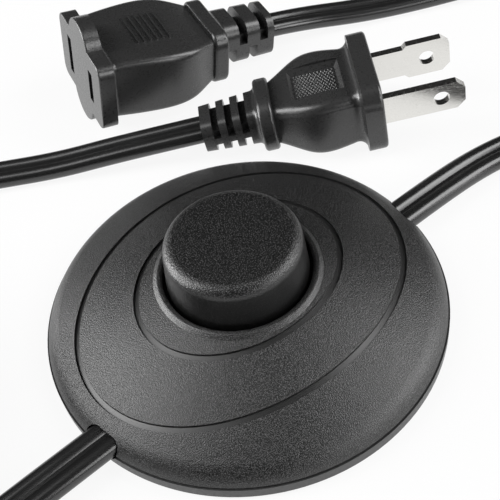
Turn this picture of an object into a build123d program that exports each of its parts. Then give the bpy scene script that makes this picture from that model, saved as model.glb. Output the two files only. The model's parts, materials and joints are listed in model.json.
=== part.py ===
"""In-line foot switch on a flat two-core cord, with a two-blade plug and a two-slot connector.

The frame stands at the middle of the disc's underside, with +Z up and +X along the cord through the disc.
All sizes are millimetres.
"""
from build123d import *
import math
import os

os.makedirs("parts", exist_ok=True)

# Disc: outer form of the dome and the base
disc_radius = 35.0
seam_height = 2.6
seam_gap = 0.25
shoulder_radius = 5.0
shoulder_centre_height = 1.2
crown_radius = 127.7
crown_end_radius = 14.2
dome_height = 12.5
housing_wall = 1.6
lip_rise = 0.6
lip_crest_radius = 13.5
lip_foot_radius = 15.0
lip_round = 0.5
base_edge_round = 0.6
base_floor = 2.0
locating_ring_wall = 1.2
locating_ring_height = 3.4
locating_clearance = 0.3
cut_margin = 1.0

# Grooves: two ovals moulded into the dome, long way along the cord
groove_width = 1.0
groove_depth = 0.45
inner_groove_end_reach = 3.4
inner_groove_side_reach = 0.2
outer_groove_end_margin = 4.65
outer_groove_side_margin = 10.9

# Push button
button_height = 20.8
button_top_radius = 11.35
button_foot_radius = 12.2
button_wall = 1.6
button_top_wall = 1.8
button_edge_round = 2.1
button_gap = 0.4
button_travel = 3.5
button_flange_reach = 1.7
button_flange_thickness = 1.2
running_clearance = 0.3
guide_wall = 1.2
guide_depth = 4.0

# Ratchet rotor, its pivot, and the button's drive sleeve
pivot_radius = 2.4
pivot_height = 10.0
pivot_clearance = 0.2
thrust_ring_radius = 3.9
hub_radius = 5.0
hub_top_wall = 1.2
hub_height = 12.0
rotor_flange_radius = 9.2
rotor_flange_thickness = 1.2
step_angle_deg = 45.0
sleeve_clearance = 0.4
sleeve_wall = 1.5
peg_radius = 0.8
peg_reach = 0.8
peg_height = 10.6
spiral_groove_depth = 1.1

# Return spring
spring_wire = 0.8
spring_mean_radius = 8.0
spring_turns = 5.5
spring_end_gap = 0.1
spring_wire_sides = 8

# Contacts
contact_seat_height = 2.4
contact_thickness = 0.8
contact_width = 5.0
contact_gap = 0.2
star_thickness = 0.5
star_reach = 10.0
star_arm_width = 3.4
star_tip_round = 0.85
star_hole_clearance = 0.4
contact_inner_radius = 7.2
contact_outer_radius = 18.4
contact_screw_circle = 14.6
contact_angle_deg = 45.0
lug_thickness = 0.8
lug_width = 4.0
lug_height = 3.6
lug_x = 15.4
lug_y = 9.6
lug_tab_length = 3.6

# Screws
case_screw_rim_margin = 9.0
case_screw_angle_deg = 50.0
case_screw_shank_radius = 1.45
case_screw_head_radius = 2.7
case_screw_head_depth = 1.3
case_screw_recess = 0.4
case_screw_length = 5.6
case_boss_radius = 3.0
case_boss_seat_height = 3.4
case_pilot_radius = 1.25
screw_hole_clearance = 0.3
small_screw_shank_radius = 1.1
small_screw_head_radius = 2.1
small_screw_head_height = 1.0
small_screw_head_round = 0.33
small_screw_length = 1.6
small_pilot_radius = 0.95
drive_slot_width = 0.6
drive_slot_depth = 0.5

# Flat cord: two cores side by side
cord_width = 6.6
cord_thickness = 3.3
cord_offset_y = -5.0
cord_hole_clearance = 0.25
core_diameter = 2.4
live_core_rise = 6.0
neutral_bow_clearance = 1.2
bend_share = 0.45
jacket_end_x = 16.6
cord_bed_depth = 0.4

# Cord clamps
clamp_x = 19.0
clamp_length = 5.0
clamp_screw_offset = 6.5
clamp_ear_height = 1.1
clamp_arch = 0.9
clamp_ear_margin = 2.3
clamp_boss_radius = 2.0

# Layout of the cord on the table
plug_face_x = 51.0
plug_face_y = 18.9
plug_heading_deg = -34.0
connector_face_x = 11.5
connector_face_y = 65.5
connector_heading_deg = -14.0
coil_centre_x = -88.0
coil_centre_y = 38.0
coil_inner_radius = 31.0
coil_outer_radius = 45.0
coil_bottom = 0.7
coil_height = 13.4
coil_round = 3.0
coil_slack = 0.35
tie_angle_deg = 180.0
tie_width = 6.0
tie_thickness = 0.6
relief_lead = 8.0
table_gap = 0.1

# Plug: two flat blades in a moulded grip
plug_flange_side = 2.7
plug_flange_rise = 2.2
plug_flange_length = 3.8
plug_flange_corner = 4.0
plug_root_round = 1.8
plug_body_length = 17.0
plug_body_width = 16.6
plug_body_height = 11.6
plug_waist_width = 11.0
plug_waist_height = 8.6
plug_swell = 0.5
plug_plan_knee = 6.6
plug_side_knee = 8.8
plug_collar_length = 3.0
plug_collar_width = 14.8
plug_collar_height = 12.4
plug_collar_corner = 5.6
plug_relief_length = 11.6
plug_relief_width = 9.8
plug_relief_height = 8.6
plug_relief_end_width = 8.6
plug_relief_end_height = 7.2
plug_ring_count = 4
plug_panel_length = 10.6
plug_panel_width = 9.2
plug_panel_depth = 0.9
plug_panel_draft_deg = 45.0
plug_panel_shift = 0.6
plug_slot_width = 1.4
relief_web_height = 1.0
relief_sleeve = 0.2
relief_corner_share = 0.32
relief_root_round = 1.0
end_round = 0.7
plug_grip_round = 2.0
grip_waist_rise = 0.35
grip_face_fall = 0.1
blade_spacing = 12.7
blade_thickness = 1.5
line_blade_width = 6.35
neutral_blade_width = 7.94
blade_length = 16.0
blade_root_depth = 8.0
blade_hole_radius = 1.6
blade_hole_distance = 11.4
blade_tip_cut = 1.6
neutral_step_distance = 7.5

# Connector: two slots in a moulded body
connector_head_side = 2.1
connector_head_rise = 1.2
connector_head_length = 3.3
connector_bulge_radius = 5.9
connector_bulge_height = 5.6
connector_head_corner = 2.4
connector_root_round = 1.0
connector_body_length = 23.5
connector_body_width = 20.8
connector_body_height = 12.6
connector_waist_width = 16.8
connector_waist_height = 9.6
connector_swell = 0.2
connector_plan_knee = 4.2
connector_side_knee = 12.4
connector_collar_length = 3.4
connector_collar_width = 18.0
connector_collar_height = 12.0
connector_collar_corner = 3.0
connector_relief_length = 12.4
connector_relief_width = 10.8
connector_relief_height = 10.0
connector_relief_end_width = 10.4
connector_relief_end_height = 9.6
connector_window_pairs = 2
connector_window_width = 1.9
connector_grip_round = 1.4
connector_face_round = 0.3
connector_rib_count = 6
connector_rib_width = 0.4
connector_rib_height = 0.4
connector_rib_length = 10.0
connector_rib_pitch = 1.4
connector_rib_start = 8.0
connector_rib_root = 1.4
slot_width = 2.2
line_slot_height = 7.0
neutral_slot_height = 8.6
slot_wall = 2.6
cavity_width = 3.8
cavity_depth = 17.0
cavity_margin = 0.4
leaf_thickness = 0.5
leaf_gap = 1.7
leaf_length = 12.0

# Levels and sizes that follow from the driving dimensions
housing_edge_z = seam_height + seam_gap
cord_bed_z = base_floor - cord_bed_depth
cord_centre_z = cord_bed_z + cord_thickness / 2
cord_top_z = cord_bed_z + cord_thickness
contact_top_z = contact_seat_height + contact_thickness
star_bottom_z = contact_top_z + contact_gap
rotor_bottom_z = star_bottom_z + star_thickness
rotor_flange_top_z = rotor_bottom_z + rotor_flange_thickness
bore_radius = button_foot_radius + button_gap
button_flange_radius = button_foot_radius + button_flange_reach
ceiling_z = dome_height - housing_wall
button_flange_top_z = ceiling_z - running_clearance
button_flange_bottom_z = button_flange_top_z - button_flange_thickness
button_ceiling_z = button_height - button_top_wall
sleeve_inner_radius = hub_radius + sleeve_clearance
sleeve_outer_radius = sleeve_inner_radius + sleeve_wall
turn_per_mm_deg = step_angle_deg / button_travel
plug_flange_width = plug_body_width + 2 * plug_flange_side
plug_flange_height = plug_body_height + 2 * plug_flange_rise
connector_head_width = connector_body_width + 2 * connector_head_side
connector_head_height = connector_body_height + 2 * connector_head_rise
plug_length = plug_flange_length + plug_body_length + plug_collar_length + plug_relief_length
connector_length = (
    connector_head_length + connector_body_length + connector_collar_length + connector_relief_length
)


def write(name, shape):
    """Write one piece of the switch to its own file."""
    shape.label = name
    export_step(shape, f"parts/{name}.step")


def cylinder(radius, low, high, x=0.0, y=0.0):
    """A round bar along Z between two heights."""
    return Pos(x, y, (low + high) / 2) * Cylinder(radius, high - low)


def block(length, width, low, high, x=0.0, y=0.0):
    """A box between two heights, centred on x and y."""
    return Pos(x, y, (low + high) / 2) * Box(length, width, high - low)


def spun(points):
    """A closed half section, given as radius and height, turned about Z."""
    return revolve(Plane.XZ * make_face(Polyline(*points, close=True)), Axis.Z)


# Dome: a shoulder arc at the rim runs into a wide crown arc that ends at the button's lip
def dome(skin, foot_z):
    """The solid under the dome's surface, with that surface taken in by skin."""
    shoulder_centre = Vector(disc_radius - shoulder_radius, shoulder_centre_height)
    crown_end = Vector(crown_end_radius, dome_height)
    span = shoulder_centre - crown_end
    along = (crown_radius**2 - (crown_radius - shoulder_radius) ** 2 + span.dot(span)) / (2 * span.length)
    below = math.sqrt(crown_radius**2 - along**2)
    towards = span.normalized()
    crown_centre = crown_end + towards * along + Vector(towards.Y, -towards.X) * below
    outward = shoulder_centre - crown_centre
    join_angle = math.degrees(math.atan2(outward.Y, outward.X))
    foot_angle = math.degrees(math.asin((foot_z - shoulder_centre_height) / (shoulder_radius - skin)))
    end_angle = math.degrees(math.acos((crown_end_radius - crown_centre.X) / (crown_radius - skin)))
    shoulder = CenterArc(
        (shoulder_centre.X, shoulder_centre.Y), shoulder_radius - skin, foot_angle, join_angle - foot_angle
    )
    crown = CenterArc(
        (crown_centre.X, crown_centre.Y), crown_radius - skin, join_angle, end_angle - join_angle
    )
    top = crown @ 1
    rest = Polyline(top, (0, top.Y), (0, foot_z), shoulder @ 0)
    return revolve(Plane.XZ * make_face([shoulder, crown, rest]), Axis.Z)


def oval_ring(half_length, half_width):
    """A tall oval band, one groove wide, standing through the dome."""
    half = groove_width / 2
    outside = Ellipse(half_length + half, half_width + half)
    inside = Ellipse(half_length - half, half_width - half)
    return extrude(outside - inside, dome_height + lip_rise)


def cord_passage():
    """The opening for the flat cord through both sides of the disc."""
    opening = SlotOverall(cord_width + 2 * cord_hole_clearance, cord_thickness + 2 * cord_hole_clearance)
    through = extrude(Plane.YZ * opening, disc_radius + cut_margin, both=True)
    return Pos(0, cord_offset_y, cord_centre_z) * through


case_screw_circle = disc_radius - case_screw_rim_margin
case_screw_x = case_screw_circle * math.cos(math.radians(case_screw_angle_deg))
case_screw_y = case_screw_circle * math.sin(math.radians(case_screw_angle_deg))
case_screw_places = [
    (side_x * case_screw_x, side_y * case_screw_y) for side_x in (-1, 1) for side_y in (-1, 1)
]


def upper_housing():
    """Dome shell with the button's bore and guide, and four blind screw bosses."""
    outside = dome(0, housing_edge_z)
    trim = dome(housing_wall / 2, housing_edge_z)
    shell = outside - dome(housing_wall, housing_edge_z)
    lip_top = dome_height + lip_rise
    lip_section = Polyline(
        (bore_radius, ceiling_z),
        (bore_radius, lip_top),
        (lip_crest_radius, lip_top),
        (lip_foot_radius, dome_height - lip_rise),
        (lip_foot_radius, ceiling_z),
        close=True,
    )
    lip_face = make_face(lip_section)
    crest = lip_face.vertices().group_by(Axis.Y)[-1]
    shell += revolve(Plane.XZ * fillet(crest, lip_round), Axis.Z)
    guide_inner = button_flange_radius + running_clearance
    guide = cylinder(guide_inner + guide_wall, ceiling_z - guide_depth, dome_height)
    guide -= cylinder(guide_inner, ceiling_z - guide_depth, ceiling_z)
    shell += guide & trim
    for x, y in case_screw_places:
        shell += cylinder(case_boss_radius, case_boss_seat_height, dome_height, x, y) & trim
    shell -= cylinder(bore_radius, 0, lip_top)
    pilot_top = case_screw_recess + case_screw_length + running_clearance
    for x, y in case_screw_places:
        shell -= cylinder(case_pilot_radius, case_boss_seat_height, pilot_top, x, y)
    grooves = oval_ring(lip_foot_radius + inner_groove_end_reach, lip_foot_radius + inner_groove_side_reach)
    grooves += oval_ring(disc_radius - outer_groove_end_margin, disc_radius - outer_groove_side_margin)
    shell -= grooves & (outside - dome(groove_depth, housing_edge_z))
    middle = cylinder(guide_inner + guide_wall, 0, dome_height)
    return shell - (cord_passage() - middle)


def clamp_screw_places():
    """Two screws beside the cord at each end of the disc."""
    return [
        (side_x * clamp_x, cord_offset_y + side_y * clamp_screw_offset)
        for side_x in (-1, 1)
        for side_y in (-1, 1)
    ]


def contact_screw_places():
    """One screw through each fixed contact."""
    angle = math.radians(contact_angle_deg)
    reach = contact_screw_circle
    return [(side * reach * math.cos(angle), reach * math.sin(angle)) for side in (-1, 1)]


def case_screw():
    """Countersunk screw, head down, with a cross recess."""
    low = case_screw_recess
    section = [
        (0, low),
        (case_screw_head_radius, low),
        (case_screw_shank_radius, low + case_screw_head_depth),
        (case_screw_shank_radius, low + case_screw_length),
        (0, low + case_screw_length),
    ]
    slot = block(2 * case_screw_shank_radius, drive_slot_width, low, low + drive_slot_depth)
    return spun(section) - slot - Rot(0, 0, 90) * slot


def lug_tab(side, low, high):
    """Flat tab between a contact's strip and the foot of its lug."""
    middle_y = lug_y - lug_thickness / 2 + lug_tab_length / 2
    return block(lug_width, lug_tab_length, low, high, side * lug_x, middle_y)


def base_cover():
    """Moulded base: rim, locating ring, pivot, contact seats, clamp bosses and screw holes."""
    inside = disc_radius - shoulder_radius
    ring_lift = locating_ring_height - shoulder_centre_height
    ring_outer = inside - locating_clearance
    ring_outer += math.sqrt((shoulder_radius - housing_wall) ** 2 - ring_lift**2)
    ring_inner = ring_outer - locating_ring_wall
    section = Polyline(
        (0, 0),
        (disc_radius, 0),
        (disc_radius, seam_height),
        (ring_outer, seam_height),
        (ring_outer, locating_ring_height),
        (ring_inner, locating_ring_height),
        (ring_inner, base_floor),
        (0, base_floor),
        close=True,
    )
    face = make_face(section)
    bottom_edge = face.vertices().group_by(Axis.X)[-1].sort_by(Axis.Y)[0]
    base = revolve(Plane.XZ * fillet(bottom_edge, base_edge_round), Axis.Z)
    for x, y in case_screw_places:
        base += cylinder(case_boss_radius, base_floor, case_boss_seat_height, x, y)
    for x, y in clamp_screw_places():
        base += cylinder(clamp_boss_radius, base_floor, cord_centre_z, x, y)
    angle = math.radians(contact_angle_deg)
    for side in (-1, 1):
        middle = (contact_inner_radius + contact_outer_radius) / 2
        seat = block(contact_outer_radius - contact_inner_radius, contact_width, 0, contact_seat_height)
        turn = Rot(0, 0, contact_angle_deg if side > 0 else 180 - contact_angle_deg)
        base += turn * Pos(middle, 0, 0) * seat
        base += lug_tab(side, base_floor, contact_seat_height)
    base += cylinder(thrust_ring_radius, base_floor, rotor_bottom_z - running_clearance)
    base += cylinder(pivot_radius, base_floor, pivot_height)
    for x, y in case_screw_places:
        hole = [
            (0, 0),
            (case_screw_head_radius + screw_hole_clearance, 0),
            (case_screw_head_radius + screw_hole_clearance, case_screw_recess),
            (case_screw_shank_radius + screw_hole_clearance, case_screw_recess + case_screw_head_depth),
            (case_screw_shank_radius + screw_hole_clearance, case_boss_seat_height),
            (0, case_boss_seat_height),
        ]
        base -= Pos(x, y, 0) * spun(hole)
    for x, y in clamp_screw_places():
        low = cord_centre_z + clamp_ear_height - small_screw_length - running_clearance
        base -= cylinder(small_pilot_radius, low, cord_centre_z, x, y)
    for x, y in contact_screw_places():
        low = contact_top_z - small_screw_length - running_clearance
        base -= cylinder(small_pilot_radius, low, contact_seat_height, x, y)
    ends = cord_passage() - cylinder(jacket_end_x, 0, dome_height)
    return base - ends


def push_button():
    """Tapered cap with a stop flange, and a drive sleeve with two pegs under its top."""
    outer = [
        (0, button_flange_bottom_z),
        (button_flange_radius, button_flange_bottom_z),
        (button_flange_radius, button_flange_top_z),
        (button_foot_radius, button_flange_top_z),
        (button_top_radius, button_height),
        (0, button_height),
    ]
    face = make_face(Polyline(*outer, close=True))
    top_edge = face.vertices().group_by(Axis.Y)[-1].sort_by(Axis.X)[-1]
    cap = revolve(Plane.XZ * fillet(top_edge, button_edge_round), Axis.Z)
    cap -= spun(
        [
            (0, button_flange_bottom_z),
            (button_foot_radius - button_wall, button_flange_bottom_z),
            (button_top_radius - button_wall, button_ceiling_z),
            (0, button_ceiling_z),
        ]
    )
    sleeve_bottom = peg_height - peg_radius
    sleeve = cylinder(sleeve_outer_radius, sleeve_bottom, button_ceiling_z)
    sleeve -= cylinder(sleeve_inner_radius, sleeve_bottom, button_ceiling_z)
    peg_tip = hub_radius - peg_reach
    peg_length = sleeve_outer_radius - sleeve_wall / 2 - peg_tip
    for side in (-1, 1):
        middle = side * (peg_tip + peg_length / 2)
        sleeve += Pos(middle, 0, peg_height) * Rot(0, 90, 0) * Cylinder(peg_radius, peg_length)
    return cap + sleeve


def cam_rotor():
    """Hub with two steep spiral grooves for the button's pegs, over a round flange."""
    lead_tangent = math.radians(turn_per_mm_deg) * hub_radius
    half_groove = (peg_radius + running_clearance) * math.sqrt(1 + lead_tangent**2)
    groove_bottom_z = peg_height - button_travel - peg_radius - running_clearance
    groove_floor = hub_radius - spiral_groove_depth
    section = Circle(hub_radius)
    for side in (-1, 1):
        middle = side * (groove_floor + hub_radius / 2)
        section -= Pos(middle, 0) * Rectangle(hub_radius, 2 * half_groove)
    spiral_height = hub_height - groove_bottom_z
    start_turn = -(peg_height - groove_bottom_z) * turn_per_mm_deg
    spiral = Solid.extrude_linear_with_rotation(
        section.face(), (0, 0, 0), (0, 0, spiral_height), spiral_height * turn_per_mm_deg
    )
    rotor = cylinder(hub_radius, rotor_bottom_z, groove_bottom_z)
    rotor += spiral.moved(Location((0, 0, groove_bottom_z), (0, 0, start_turn)))
    rotor += cylinder(rotor_flange_radius, rotor_bottom_z, rotor_flange_top_z)
    bore = pivot_radius + pivot_clearance
    return rotor - cylinder(bore, rotor_bottom_z, hub_height - hub_top_wall)


def return_spring():
    """Round-wire compression spring between the rotor's flange and the button's top."""
    low = rotor_flange_top_z + spring_wire / 2 + spring_end_gap
    high = button_ceiling_z - spring_wire / 2 - spring_end_gap
    path = Pos(0, 0, low) * Helix((high - low) / spring_turns, high - low, spring_mean_radius)
    section = Plane(path @ 0, z_dir=path % 0) * RegularPolygon(spring_wire / 2, spring_wire_sides)
    return sweep(section, path=path, is_frenet=True)


def bridge_contact():
    """Flat four-armed star that joins the two fixed contacts at every other step."""
    ring_inner = thrust_ring_radius + star_hole_clearance
    star = cylinder(rotor_flange_radius - star_arm_width / 2, star_bottom_z, rotor_bottom_z)
    for quarter in (0, 90):
        star += Rot(0, 0, quarter) * block(2 * star_reach, star_arm_width, star_bottom_z, rotor_bottom_z)
    corners = star.edges().filter_by(Axis.Z).filter_by(
        lambda edge: Vector(edge.center().X, edge.center().Y).length > star_reach
    )
    star = fillet(corners, star_tip_round)
    return star - cylinder(ring_inner, star_bottom_z, rotor_bottom_z)


def fixed_contact(side):
    """Strip from under the star to a screw, with an upturned lug for the core's end."""
    length = contact_outer_radius - contact_inner_radius
    middle = (contact_outer_radius + contact_inner_radius) / 2
    turn = Rot(0, 0, contact_angle_deg if side > 0 else 180 - contact_angle_deg)
    strip = turn * Pos(middle, 0, 0) * block(length, contact_width, contact_seat_height, contact_top_z)
    strip += lug_tab(side, contact_seat_height, contact_top_z)
    lug_top = contact_seat_height + lug_height
    strip += block(lug_width, lug_thickness, contact_seat_height, lug_top, side * lug_x, lug_y)
    x, y = contact_screw_places()[0 if side < 0 else 1]
    hole = small_screw_shank_radius + screw_hole_clearance
    return strip - cylinder(hole, contact_seat_height, contact_top_z, x, y)


def small_screw(x, y, seat_z):
    """Low pan-head screw with one slot, its head on seat_z."""
    head_top = seat_z + small_screw_head_height
    screw = cylinder(small_screw_head_radius, seat_z, head_top, x, y)
    rim = screw.edges().group_by(Axis.Z)[-1]
    screw = fillet(rim, small_screw_head_round)
    screw -= block(
        2 * small_screw_head_radius, drive_slot_width, head_top - drive_slot_depth, head_top, x, y
    )
    return screw + cylinder(small_screw_shank_radius, seat_z - small_screw_length, seat_z, x, y)


def cord_clamp(side):
    """Saddle over the cord with an ear and a screw hole on each side."""
    span = 2 * (clamp_screw_offset + clamp_ear_margin)
    ear_top = cord_centre_z + clamp_ear_height
    saddle = block(clamp_length, span, cord_centre_z, ear_top)
    arch_width = cord_width + 2 * clamp_arch
    arch = SlotOverall(arch_width, cord_thickness + 2 * clamp_arch)
    arch_bar = extrude(Plane.YZ * arch, clamp_length / 2, both=True)
    upper_half = block(clamp_length, arch_width, cord_centre_z, cord_top_z + clamp_arch)
    saddle += (Pos(0, 0, cord_centre_z) * arch_bar) & upper_half
    bed = extrude(Plane.YZ * SlotOverall(cord_width, cord_thickness), clamp_length, both=True)
    saddle -= Pos(0, 0, cord_centre_z) * bed
    for side_y in (-1, 1):
        hole = small_screw_shank_radius + screw_hole_clearance
        saddle -= cylinder(hole, cord_centre_z, ear_top, 0, side_y * clamp_screw_offset)
    return Pos(side * clamp_x, cord_offset_y, 0) * saddle


# Cores inside the disc: the switched one is cut and goes to the contacts, the other runs past
def core(points):
    """Round insulated core along straight runs joined by arcs."""
    bends = bend_radii(points)
    path = FilletPolyline(*points, radius=bends)
    return sweep(Plane(path @ 0, z_dir=path % 0) * Circle(core_diameter / 2), path=path)


def bend_radii(points):
    """For each corner, the largest arc that both of its runs leave room for."""
    radii = []
    for before, corner, after in zip(points, points[1:], points[2:]):
        first = Vector(corner) - Vector(before)
        second = Vector(after) - Vector(corner)
        half_turn = math.radians(first.get_angle(second) / 2)
        radii.append(bend_share * min(first.length, second.length) / math.tan(half_turn))
    return radii


core_shift = cord_thickness / 2
live_core_y = cord_offset_y + core_shift
neutral_core_y = cord_offset_y - core_shift
core_z = cord_centre_z
star_clear = star_reach + running_clearance + core_diameter / 2


def live_core(side):
    """From the cord's end, round the star's reach, to the lug of its contact."""
    end_y = lug_y - lug_thickness / 2
    bend_x = side * (star_clear + core_diameter / 2)
    return core(
        [
            (side * jacket_end_x, live_core_y, core_z),
            (bend_x, live_core_y, core_z),
            (bend_x, live_core_y + live_core_rise, core_z),
            (side * lug_x, end_y - core_diameter, core_z),
            (side * lug_x, end_y, core_z),
        ]
    )


def neutral_core():
    """Unbroken core past the rotor on the side away from the contacts."""
    corner_x = star_clear / 2
    corner_y = -star_clear - neutral_bow_clearance
    return core(
        [
            (-jacket_end_x, neutral_core_y, core_z),
            (-star_clear, neutral_core_y, core_z),
            (-corner_x, corner_y, core_z),
            (corner_x, corner_y, core_z),
            (star_clear, neutral_core_y, core_z),
            (jacket_end_x, neutral_core_y, core_z),
        ]
    )


# Plug: +X out of its face, Z up, axis through its middle
def rounded_bar(width, height, corner, low_x, high_x, low_round=0.0, high_round=0.0):
    """A bar along X with a rounded rectangular section, and with its end edges rounded."""
    section = Plane.YZ * RectangleRounded(width, height, corner)
    bar = Pos(low_x, 0, 0) * extrude(section, high_x - low_x)
    if low_round:
        bar = fillet(bar.edges().group_by(Axis.X)[0], low_round)
    if high_round:
        bar = fillet(bar.edges().group_by(Axis.X)[-1], high_round)
    return bar


def tapered_bar(low_x, low_size, high_x, high_size):
    """An oval bar along X that changes from one width and height to another."""
    low = Plane.YZ.offset(low_x) * RectangleRounded(*low_size, min(low_size) * relief_corner_share)
    high = Plane.YZ.offset(high_x) * RectangleRounded(*high_size, min(high_size) * relief_corner_share)
    return loft([low, high])


def grip(low_x, high_x, full, waist, knees, swell, corner):
    """Moulded grip: its plan and its side view are cut from one block, waist at low_x."""
    outlines = []
    for full_size, waist_size, knee in zip(full, waist, knees):
        edge = Spline(
            (low_x, waist_size / 2),
            (low_x + knee, full_size / 2 + swell),
            (high_x, full_size / 2),
            tangents=[(1, grip_waist_rise), (1, -grip_face_fall)],
        )
        lower = mirror(edge, Plane.XZ)
        ends = [Line(edge @ 0, lower @ 0), Line(edge @ 1, lower @ 1)]
        outlines.append(make_face([edge, lower] + ends))
    plan = extrude(outlines[0], full[1], both=True)
    view = extrude(Plane.XZ * outlines[1], full[0], both=True)
    body = plan & view
    long_edges = body.edges().filter_by(lambda edge: edge.length > high_x - low_x - corner)
    return fillet(long_edges, corner)


def blend_root(body, seat_x, radius):
    """Round the inside corner where a grip meets the flat back of its flange at seat_x."""
    seat = body.faces().filter_by(Axis.X).filter_by(
        lambda face: abs(face.center().X - seat_x) < radius and face.inner_wires()
    )[0]
    return fillet(seat.inner_wires()[0].edges(), radius)


def blade(width, root_width):
    """Flat blade with cut tip corners and a hole, standing out of the plug's face."""
    half = width / 2
    root = root_width / 2
    step = neutral_step_distance
    outline = [
        (-blade_root_depth, -root),
        (step - (half - root), -root),
        (step, -half),
        (blade_length - blade_tip_cut, -half),
        (blade_length, -half + blade_tip_cut),
        (blade_length, half - blade_tip_cut),
        (blade_length - blade_tip_cut, half),
        (step, half),
        (step - (half - root), root),
        (-blade_root_depth, root),
    ]
    if width == root_width:
        outline = [point for point in outline if point[0] not in (step, step - (half - root))]
    hole = Pos(blade_hole_distance, 0) * Circle(blade_hole_radius)
    flat = make_face(Polyline(*outline, close=True)) - hole
    return extrude(Plane.XZ * flat, blade_thickness / 2, both=True)


def relief_slots(first_x, pitch, sides, width, height, slot_width):
    """Cuts across a strain relief, above (1) or below (-1), down to its side webs and the cord's sleeve."""
    depth = height / 2 - relief_web_height / 2
    middle = relief_web_height / 2 + depth / 2
    cuts = [
        Pos(first_x + index * pitch, 0, side * middle) * Box(slot_width, width, depth)
        for index, both in enumerate(sides)
        for side in both
    ]
    reach = pitch * len(sides)
    sleeve = Box(2 * reach, cord_width + 2 * relief_sleeve, cord_thickness + 2 * relief_sleeve)
    return [cut - Pos(first_x + reach / 2, 0, 0) * sleeve for cut in cuts]


def plug_blades():
    """The line blade and the wider neutral blade, in the plug's own frame."""
    line = Pos(0, -blade_spacing / 2, 0) * blade(line_blade_width, line_blade_width)
    neutral = Pos(0, blade_spacing / 2, 0) * blade(neutral_blade_width, line_blade_width)
    return line, neutral


def plug_body():
    """Flanged head, waisted grip with a recessed thumb panel, collar and slotted strain relief."""
    flange_back = -plug_flange_length
    grip_back = flange_back - plug_body_length
    collar_back = grip_back - plug_collar_length
    relief_back = collar_back - plug_relief_length
    head = rounded_bar(
        plug_flange_width, plug_flange_height, plug_flange_corner, flange_back, 0, high_round=end_round
    )
    body = head + grip(
        grip_back,
        flange_back,
        (plug_body_width, plug_body_height),
        (plug_waist_width, plug_waist_height),
        (plug_plan_knee, plug_side_knee),
        plug_swell,
        plug_grip_round,
    )
    body = blend_root(body, flange_back, plug_root_round)
    body += rounded_bar(
        plug_collar_width,
        plug_collar_height,
        plug_collar_corner,
        collar_back,
        grip_back,
        end_round,
        end_round,
    )
    relief = tapered_bar(
        relief_back,
        (plug_relief_end_width, plug_relief_end_height),
        collar_back,
        (plug_relief_width, plug_relief_height),
    )
    pitch = plug_relief_length / plug_ring_count
    both_sides = [(1, -1)] * (plug_ring_count - 1)
    slots = relief_slots(
        relief_back + pitch, pitch, both_sides, plug_relief_width, plug_relief_height, plug_slot_width
    )
    body = blend_root(body + (relief - slots), collar_back, relief_root_round)
    panel_x = (grip_back + flange_back) / 2 + plug_panel_shift
    pocket = extrude(
        Rectangle(plug_panel_length, plug_panel_width), -plug_panel_depth, taper=plug_panel_draft_deg
    )
    clearing = 4 * plug_swell
    pocket += Pos(0, 0, clearing / 2) * Box(plug_panel_length, plug_panel_width, clearing)
    body -= Pos(panel_x, 0, plug_body_height / 2) * pocket
    for metal in plug_blades():
        body -= metal
    return body


# Connector: its face looks along -X, Z up, axis through its middle
def connector_grip(rise):
    """The connector's tapering grip behind its head, with its top and bottom raised by rise."""
    shape = grip(
        -connector_body_length,
        0,
        (connector_body_width, connector_body_height + 2 * rise),
        (connector_waist_width, connector_waist_height + 2 * rise),
        (connector_plan_knee, connector_side_knee),
        connector_swell,
        connector_grip_round,
    )
    return Pos(connector_head_length, 0, 0) * Rot(0, 0, 180) * shape


def connector_body():
    """Slotted head with round bulges, tapering grip with ribs, collar and staggered strain relief."""
    grip_front = connector_head_length
    grip_back = grip_front + connector_body_length
    collar_back = grip_back + connector_collar_length
    relief_back = collar_back + connector_relief_length
    outline = RectangleRounded(connector_head_width, connector_head_height, connector_head_corner)
    for side in (-1, 1):
        outline += Pos(0, side * connector_bulge_height) * Circle(connector_bulge_radius)
    head = extrude(Plane.YZ * outline, connector_head_length)
    head = fillet(head.edges().group_by(Axis.X)[0], connector_face_round)
    body = blend_root(head + connector_grip(0), grip_front, connector_root_round)
    body += rounded_bar(
        connector_collar_width,
        connector_collar_height,
        connector_collar_corner,
        grip_back,
        collar_back,
        end_round,
        end_round,
    )
    relief = tapered_bar(
        collar_back,
        (connector_relief_width, connector_relief_height),
        relief_back,
        (connector_relief_end_width, connector_relief_end_height),
    )
    staggered = [(-1,), (1,)] * connector_window_pairs
    pitch = connector_relief_length / (len(staggered) + 1)
    windows = relief_slots(
        collar_back + pitch,
        pitch,
        staggered,
        connector_relief_width,
        connector_relief_height,
        connector_window_width,
    )
    body = blend_root(body + (relief - windows), collar_back, relief_root_round)
    rib_first = grip_front + connector_rib_start
    rib_foot = connector_body_height / 2 - connector_rib_root
    plate = block(connector_rib_width, connector_rib_length, rib_foot, connector_body_height)
    raised = connector_grip(connector_rib_height)
    for index in range(connector_rib_count):
        body += raised & Pos(rib_first + index * connector_rib_pitch, 0, 0) * plate
    for side, slot_height in ((-1, line_slot_height), (1, neutral_slot_height)):
        y = side * blade_spacing / 2
        mouth = Pos(slot_wall / 2, y, 0) * Box(slot_wall, slot_width, slot_height)
        cavity_height = slot_height + 2 * cavity_margin
        cavity = Pos(slot_wall + cavity_depth / 2, y, 0) * Box(cavity_depth, cavity_width, cavity_height)
        body -= mouth + cavity
    return body


def connector_contact(side, slot_height):
    """Folded brass receptacle: two leaves that grip a blade, joined at the back."""
    back_x = slot_wall + cavity_depth
    outer = leaf_gap + 2 * leaf_thickness
    fold = Pos(back_x - leaf_length / 2, 0, 0) * Box(leaf_length, outer, slot_height)
    fold -= Pos(back_x - leaf_length / 2 - leaf_thickness, 0, 0) * Box(leaf_length, leaf_gap, slot_height)
    return Pos(0, side * blade_spacing / 2, 0) * fold


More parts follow.
